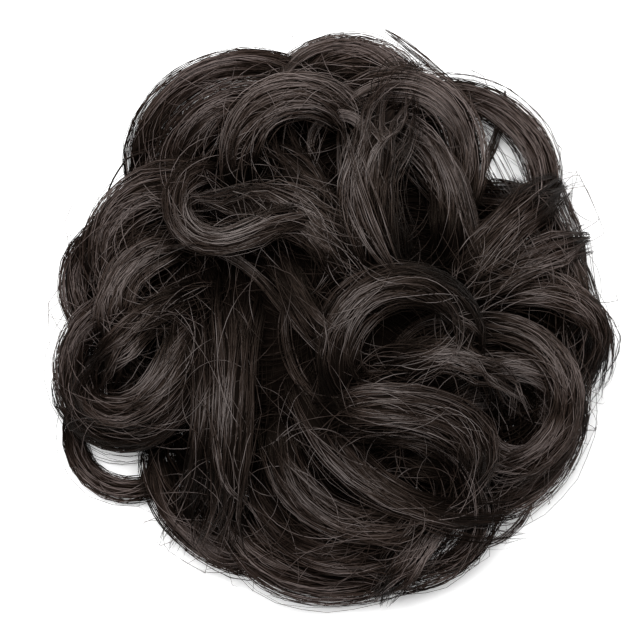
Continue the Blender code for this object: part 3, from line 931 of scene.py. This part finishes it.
luck = np.random.default_rng(11)
baseLots = [baseCore(), domeStrands(luck), fillingStrands(luck), underStrands(luck), footStrands(luck)]
base = hairPiece("hair_base_hair", baseLots, innerHair)
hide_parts("hair_base")
triangles += base["triangles"]
print("with the base:", triangles, "triangles")


# Single hairs that lie over the pile in wide arcs and cross the hollows. Each starts on a lock, a little off
# the way that the lock runs, and turns at a steady rate of its own. None crosses the gap at the lower left.
strayLook = {
    "count": 690,
    "radius": 0.085 * mm,
    "stations": 18,
    "shortest": 18 * mm,
    "longest": 62 * mm,
    "bends": (15, 95),  # radians for each metre
    "farthest": 78 * mm,
    "gap": (-59 * mm, -40 * mm),
    "gapRadius": 6 * mm,
}


def strayHairs(luck, pile, forms):
    look = strayLook
    count = look["count"]
    picked = luck.integers(0, len(forms), count)
    share = luck.uniform(-0.05, 1.05, count)
    rows = [[along(forms[k], key, s) for key in ("x", "y", "heading", "half")] for k, s in zip(picked, share)]
    startX, startY, heading, half = np.array(rows).T
    later = np.array([along(forms[k], "heading", s + 0.05) for k, s in zip(picked, share)])
    lengths = np.array([forms[k]["length"] for k in picked])
    bend = (later - heading) / (0.05 * lengths)
    bend = np.where(bend < 0, -1, 1) * luck.uniform(*look["bends"], count) * luck.choice([1, 1, 1, -1], count)
    heading = heading + luck.normal(0, 0.26, count)
    startX, startY = beside(startX, startY, heading, luck.uniform(-1.2, 1.2, count) * half)
    length = luck.uniform(look["shortest"], look["longest"], count)
    steps = np.linspace(-0.5, 0.5, look["stations"])[None] * length[:, None]
    facing = heading[:, None] + bend[:, None] * steps
    moves = np.gradient(steps, axis=1)
    x = np.cumsum(np.cos(facing) * moves, 1)
    y = np.cumsum(np.sin(facing) * moves, 1)
    centre = look["stations"] // 2
    way = steps / length[:, None]
    x += startX[:, None] - x[:, centre : centre + 1] + 0.4 * mm * waves(luck, count, way, (1.3, 2.7))
    y += startY[:, None] - y[:, centre : centre + 1] + 0.4 * mm * waves(luck, count, way, (1.3, 2.7))
    away = np.hypot(x, y)
    shrink = np.where(away > look["farthest"], look["farthest"] / away, 1.0)
    x, y = x * shrink, y * shrink
    shares = way + 0.5
    lift = luck.uniform(0.1, 1.0, (count, 1)) * mm
    lift = lift + luck.uniform(0, 2.2, (count, 1)) * mm * np.sin(np.pi * shares)
    z = easedRows(pile.at(x, y), 4) + lift
    radius = look["radius"] * luck.uniform(0.7, 1.3, (count, 1)) * pointed(shares, 8, 0.35)
    middle = np.stack([x, y, z], -1)
    # painted shade and light: darker where the pile's painted light is low
    toneAndPaintedLight = luck.uniform(0.3, 0.85, (count, 1)) * (0.35 + 0.65 * np.clip(pile.paintedLight(middle), 0, 1))
    lie = ownLie(0, shares)
    clear = (np.hypot(x - look["gap"][0], y - look["gap"][1]) > look["gapRadius"]).all(1)
    return strandLot(middle[clear], radius[clear], toneAndPaintedLight[clear], lie[clear], (0.0, 1.0))


# Thin locks that lie over the others. Their rows are as those of the locks, and then come how high they lie
# over the pile, in millimetres, and how many hairs they have.
wisps = {
    "gap_bridge": (0.600, 0.640, 251, 0.36, -8, -8, -8, 0.032, -1.0, 34),
    "gap_hairs": (0.64, 0.60, 300, 0.46, -20, -25, -25, 0.220, -2.0, 34),
    "upper_spiral": (0.007, 0.72, 10, 0.44, -80, -90, -90, 0.045, 0.6, 40),
    "left_thin_curl": (-0.27, 0.155, 316, 0.58, -35, -25, 8, 0.040, 0.5, 36),
    "centre_thin_fall": (-0.09, 0.065, 302, 0.36, 0, 12, 40, 0.035, 0.4, 30),
    "lower_thin_fall": (-0.39, -0.54, 285, 0.30, 0, 15, 40, 0.030, 0.5, 24),
    "bottom_left_frizz": (-0.43, -0.86, 325, 0.34, 50, 50, 60, 0.080, 0.0, 22),
    "top_edge_wisp": (0.36, 0.935, 318, 0.36, -6, -6, -6, 0.030, -2.5, 12),
    "right_edge_wisp": (0.97, 0.05, 275, 0.42, -18, -22, -18, 0.030, -1.0, 12),
    "lower_right_wisp": (0.66, -0.79, 215, 0.36, -30, -35, -30, 0.035, -2.0, 16),
    "curl_crossing": (0.34, -0.02, 20, 0.36, -25, -35, -45, 0.050, 0.2, 22),
    "middle_crossing": (-0.15, -0.12, 285, 0.42, 20, 25, 25, 0.050, 0.6, 24),
    "swirl_fill": (-0.64, -0.16, 232, 0.36, 4, 10, 16, 0.140, -0.5, 70),
    "right_curl_fill": (0.63, -0.28, 350, 0.38, -16, -30, -40, 0.130, 0.0, 56),
    "right_limb_fall": (0.47, 0.45, 288, 0.44, -14, -10, 2, 0.080, 0.6, 44),
    "upper_left_fall": (0.11, 0.41, 288, 0.50, 4, 8, 10, 0.120, 0.5, 46),
    "upper_left_fill": (-0.56, 0.66, 222, 0.56, 45, 45, 45, 0.120, -6.0, 46),
    "lower_right_fill": (0.40, -0.77, 40, 0.34, 20, 20, 20, 0.120, -6.0, 40),
    "top_lobe_crest": (0.03, 1.00, 2, 0.66, -52, -55, -52, 0.060, -1.5, 56),
    "lower_left_fill": (-0.50, -0.64, 300, 0.40, 20, 25, 30, 0.110, -6.0, 36),
    "gap_foot": (0.64, 0.445, 357, 0.38, -4, -4, -4, 0.100, -3.0, 70),
    "right_edge_cover": (0.875, 0.36, 291, 0.46, -12, -12, -12, 0.055, -1.5, 36),
    "fall_crown": (0.29, 0.810, 348, 0.54, -35, -45, -40, 0.115, 0.9, 40),
    "fall_crossing": (0.29, 0.54, 312, 0.36, -6, -8, -10, 0.085, 0.5, 24),
}


def wispLines(row, luck):
    line, headings = lockLine(row, fine)
    line = line + moved
    width, lift, count = row[7] * curlUnit, row[8] * mm, row[9]
    shares = luck.uniform(-0.12, 0.12, (count, 1)) + luck.uniform(0.8, 1.1, (count, 1)) * np.linspace(0, 1, 18)
    x, y, heading = [np.interp(shares, fine, values) for values in (line[:, 0], line[:, 1], headings)]
    level = luck.uniform(-1, 1, (count, 1))
    taper = 1 - 0.55 * np.abs(2 * shares - 1) ** 2
    sideways = 0.5 * width * level * taper + 0.25 * mm * waves(luck, count, shares, (1.2, 2.9))
    x, y = beside(x, y, heading, sideways)
    bulge = 0.3 * width * np.sqrt(np.clip(1 - level**2, 0, 1)) * luck.random((count, 1))
    end = np.clip(np.minimum(shares + 0.12, 1.12 - shares) * 6, 0, 1)
    z = easedRows(pile.at(x, y), 4) + lift + bulge - (1 - end) * 2.5 * mm
    z = easedRows(np.maximum(z, 0.4 * mm), 3)
    middle = np.stack([x, y, z], -1)
    # painted light: lighter in the middle, darker at the ends where the wisps dive, and with the pile's painted
    # shade and sheen
    toneAndPaintedLight = ownLight(luck, count, -0.6, 0.3, 1.0) * (0.4 + 0.6 * np.sin(np.pi * np.clip(shares, 0, 1)))
    toneAndPaintedLight = toneAndPaintedLight * (0.3 + 0.7 * np.clip(pile.paintedLight(middle), 0, 1.4))
    return strandLot(middle, 0.105 * mm * (0.4 + 0.6 * end), toneAndPaintedLight, ownLie(0.2 * level, shares), (0.0, 1.0))


# Gives each lot its own share of the picture map's height.
def sharedMap(lots):
    for number, lot in enumerate(lots):
        lot["map"] = (number / len(lots), (number + 0.95) / len(lots))
    return lots


wispLots = [wispLines(row, np.random.default_rng(500 + number)) for number, row in enumerate(wisps.values())]
wispPiece = hairPiece("thin_wisps", sharedMap(wispLots), hair)
triangles += wispPiece["triangles"]
stray = hairPiece("stray_hairs", [strayHairs(np.random.default_rng(23), pile, forms)], hair)
triangles += stray["triangles"]
print("with the stray hairs:", triangles, "triangles")


# The elastic band keeps its solid, and gets a woven finish: fine ribs round it, crossed by threads.
bandLook = {
    "ribs": 420.0,
    "threads": 2600.0,
    "dark": (0.006, 0.0055, 0.0055, 1),
    "light": (0.026, 0.024, 0.024, 1),
}


def bandFinish():
    look = bandLook
    finish = Finish("woven_elastic", {"Roughness": 0.8, "Specular IOR Level": 0.3})
    place = finish.node("ShaderNodeTexCoord").outputs["Object"]
    across = {"Vector": place, "Scale": look["ribs"], "Distortion": 0.6, "Detail": 1.0}
    ribs = finish.node("ShaderNodeTexWave", {"wave_type": "BANDS", "bands_direction": "Z"}, across)
    threads = finish.node("ShaderNodeTexNoise", {}, {"Vector": place, "Scale": look["threads"], "Detail": 2.0})
    weave = Value(finish, ribs.outputs["Fac"]) * 0.7 + Value(finish, threads.outputs[0]) * 0.3
    finish.feed(finish.shader.inputs["Base Color"], finish.blend(weave, look["dark"], look["light"]))
    bump = finish.node("ShaderNodeBump", {}, {"Strength": 0.6, "Distance": 0.3 * mm, "Height": weave})
    finish.feed(finish.shader.inputs["Normal"], bump.outputs[0])
    return finish.material


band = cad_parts["elastic_band"]
band.data.materials.clear()
band.data.materials.append(bandFinish())
print("elastic band: woven finish")


# The floor, the light and the camera
stageLook = {
    "floor": (0.95, 0.95, 0.95, 1),
    "floorGlow": 0.13,  # the photo's ground is almost without shadow
    "world": 0.44,
    "keyPower": 50.0,
    "keyPlace": (-0.15, 0.60, 1.30),
    "keySize": 1.3,
    "fillPower": 9.0,
    "fillPlace": (0.9, -0.5, 0.9),
    "fillSize": 1.2,
    "cameraHeight": 1.10,
    "sensor": 36,
    "frameWidth": 172.8 * mm,  # how much the photo's frame takes in at the height of the curls
    "frameShift": (-10, -2),  # pixels from the middle of the locks to that of the frame
    "curlHeight": 18.0 * mm,
}


# A square lamp that faces the middle of the floor.
def addLamp(name, power, place, size):
    lamp = bpy.data.lights.new(name, "AREA")
    lamp.energy = power
    lamp.size = size
    made = bpy.data.objects.new(name, lamp)
    made.location = place
    aim = -np.array(place) / np.linalg.norm(place)
    made.rotation_euler = (math.acos(-aim[2]), 0, math.atan2(aim[0], -aim[1]))
    bpy.context.scene.collection.objects.link(made)


def buildStage():
    look = stageLook
    white = (1, 1, 1, 1)
    mesh = bpy.data.meshes.new("floor")
    mesh.from_pydata([(-3, -3, 0), (3, -3, 0), (3, 3, 0), (-3, 3, 0)], [], [(0, 1, 2, 3)])
    floor = bpy.data.objects.new("floor", mesh)
    bpy.context.scene.collection.objects.link(floor)
    paper = {"Base Color": look["floor"], "Roughness": 0.9, "Specular IOR Level": 0.1}
    paper.update({"Emission Color": white, "Emission Strength": look["floorGlow"]})
    mesh.materials.append(Finish("pale_floor", paper).material)
    world = bpy.data.worlds.new("studio")
    world.use_nodes = True
    world.node_tree.nodes["Background"].inputs[0].default_value = white
    world.node_tree.nodes["Background"].inputs[1].default_value = look["world"]
    bpy.context.scene.world = world
    addLamp("key", look["keyPower"], look["keyPlace"], look["keySize"])
    addLamp("fill", look["fillPower"], look["fillPlace"], look["fillSize"])


# The camera looks straight down. Its lens takes in frameWidth at the height of the curls.
def buildCamera():
    look = stageLook
    data = bpy.data.cameras.new("camera")
    data.sensor_width = look["sensor"]
    data.lens = look["sensor"] * (look["cameraHeight"] - look["curlHeight"]) / look["frameWidth"]
    made = bpy.data.objects.new("camera", data)
    pixel = look["frameWidth"] / 640
    right, up = look["frameShift"]
    made.location = (moved[0] + right * pixel, moved[1] + up * pixel, look["cameraHeight"])
    bpy.context.scene.collection.objects.link(made)
    bpy.context.scene.camera = made


buildStage()
buildCamera()
bpy.context.scene.view_settings.view_transform = "Standard"
print("stage and camera are set,", triangles, "triangles in all")
